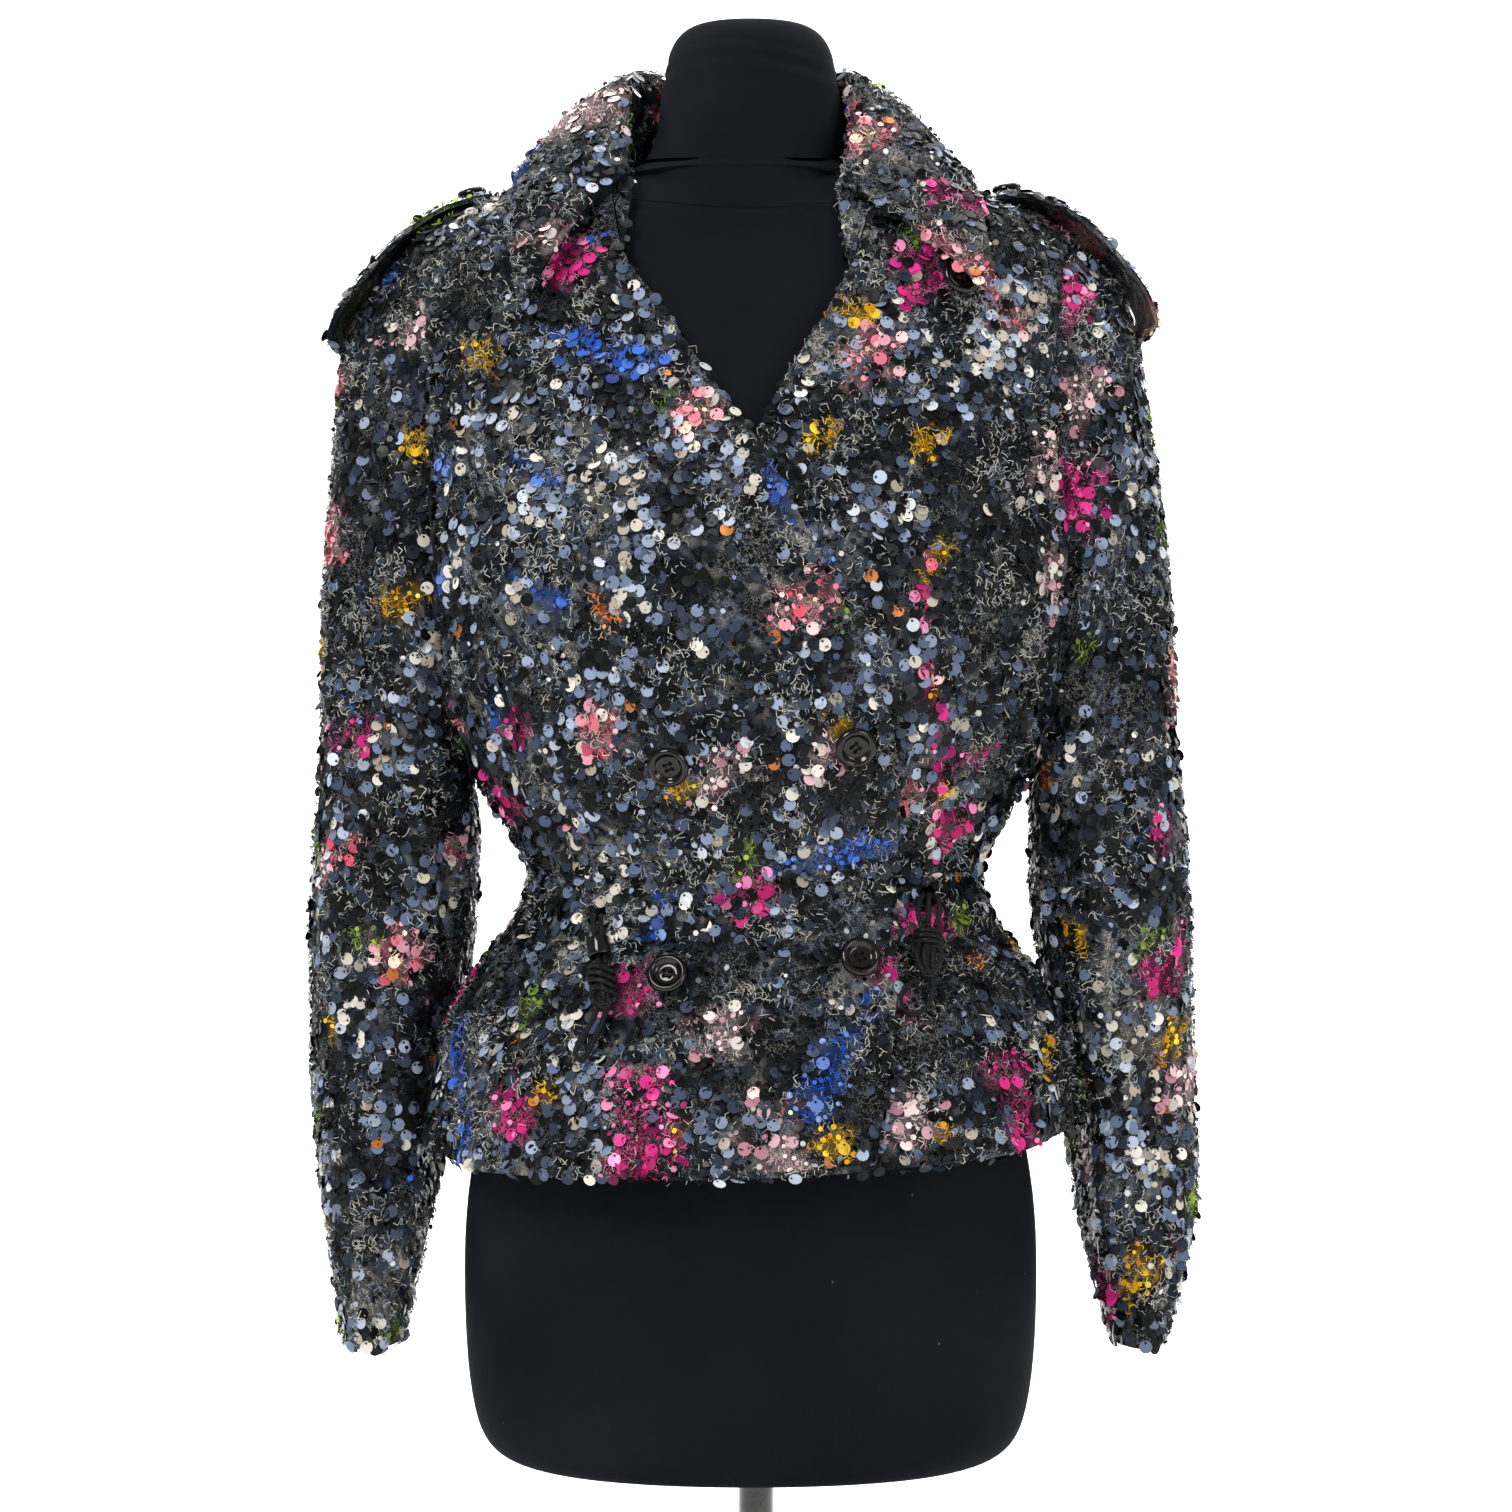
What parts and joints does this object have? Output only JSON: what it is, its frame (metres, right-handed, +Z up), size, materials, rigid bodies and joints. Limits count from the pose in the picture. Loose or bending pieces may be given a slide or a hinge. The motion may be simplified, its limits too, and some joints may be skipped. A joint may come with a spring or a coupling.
{
  "type": "utility jacket on dress form",
  "caption": "Cropped peplum jacket of sequined cloth with crossed front, collar, epaulettes and drawcord waist, on a limbless dress form with pole and base.",
  "frame": {"origin": "centre of the base's underside, at the middle of the whole object's width and depth", "axes": "+Z up along the pole; the jacket's front faces -Y; +X is the wearer's left"},
  "size_m": [0.5038, 0.32, 1.002],
  "materials": {
    "cloth": "black net covered with small flat disc sequins in slate, ivory, pink and blue",
    "jersey": "matt black cotton jersey drawn tight",
    "button": "glossy moulded black",
    "cord": "braided black elastic cord",
    "stand": "glossy black enamel"
  },
  "bodies": {
    "root": {"front_right": "cloth", "front_left": "cloth", "back_right": "cloth", "back_left": "cloth", "waist_casing_right": "cloth", "waist_casing_left": "cloth", "peplum_right": "cloth", "peplum_left": "cloth", "peplum_back": "cloth", "sleeve_right": "cloth", "sleeve_left": "cloth", "cuff_right": "cloth", "cuff_left": "cloth", "collar_fall": "cloth", "collar_stand": "cloth", "epaulette_right": "cloth", "epaulette_left": "cloth", "button_upper_right": "button", "button_upper_left": "button", "button_lower_right": "button", "button_lower_left": "button", "button_collar": "button", "button_epaulette_right": "button", "button_epaulette_left": "button", "cord_bead": "button", "cord_right_outer": "cord", "cord_right_inner": "cord", "tail_right": "cord", "knot_right": "cord", "cord_left_outer": "cord", "cord_left_middle": "cord", "cord_left_inner": "cord", "tail_left": "cord", "knot_left": "cord", "form_torso": "jersey", "form_neck_cap": "jersey", "stand_pole": "stand", "stand_base": "stand"}
  },
  "joints": []
}
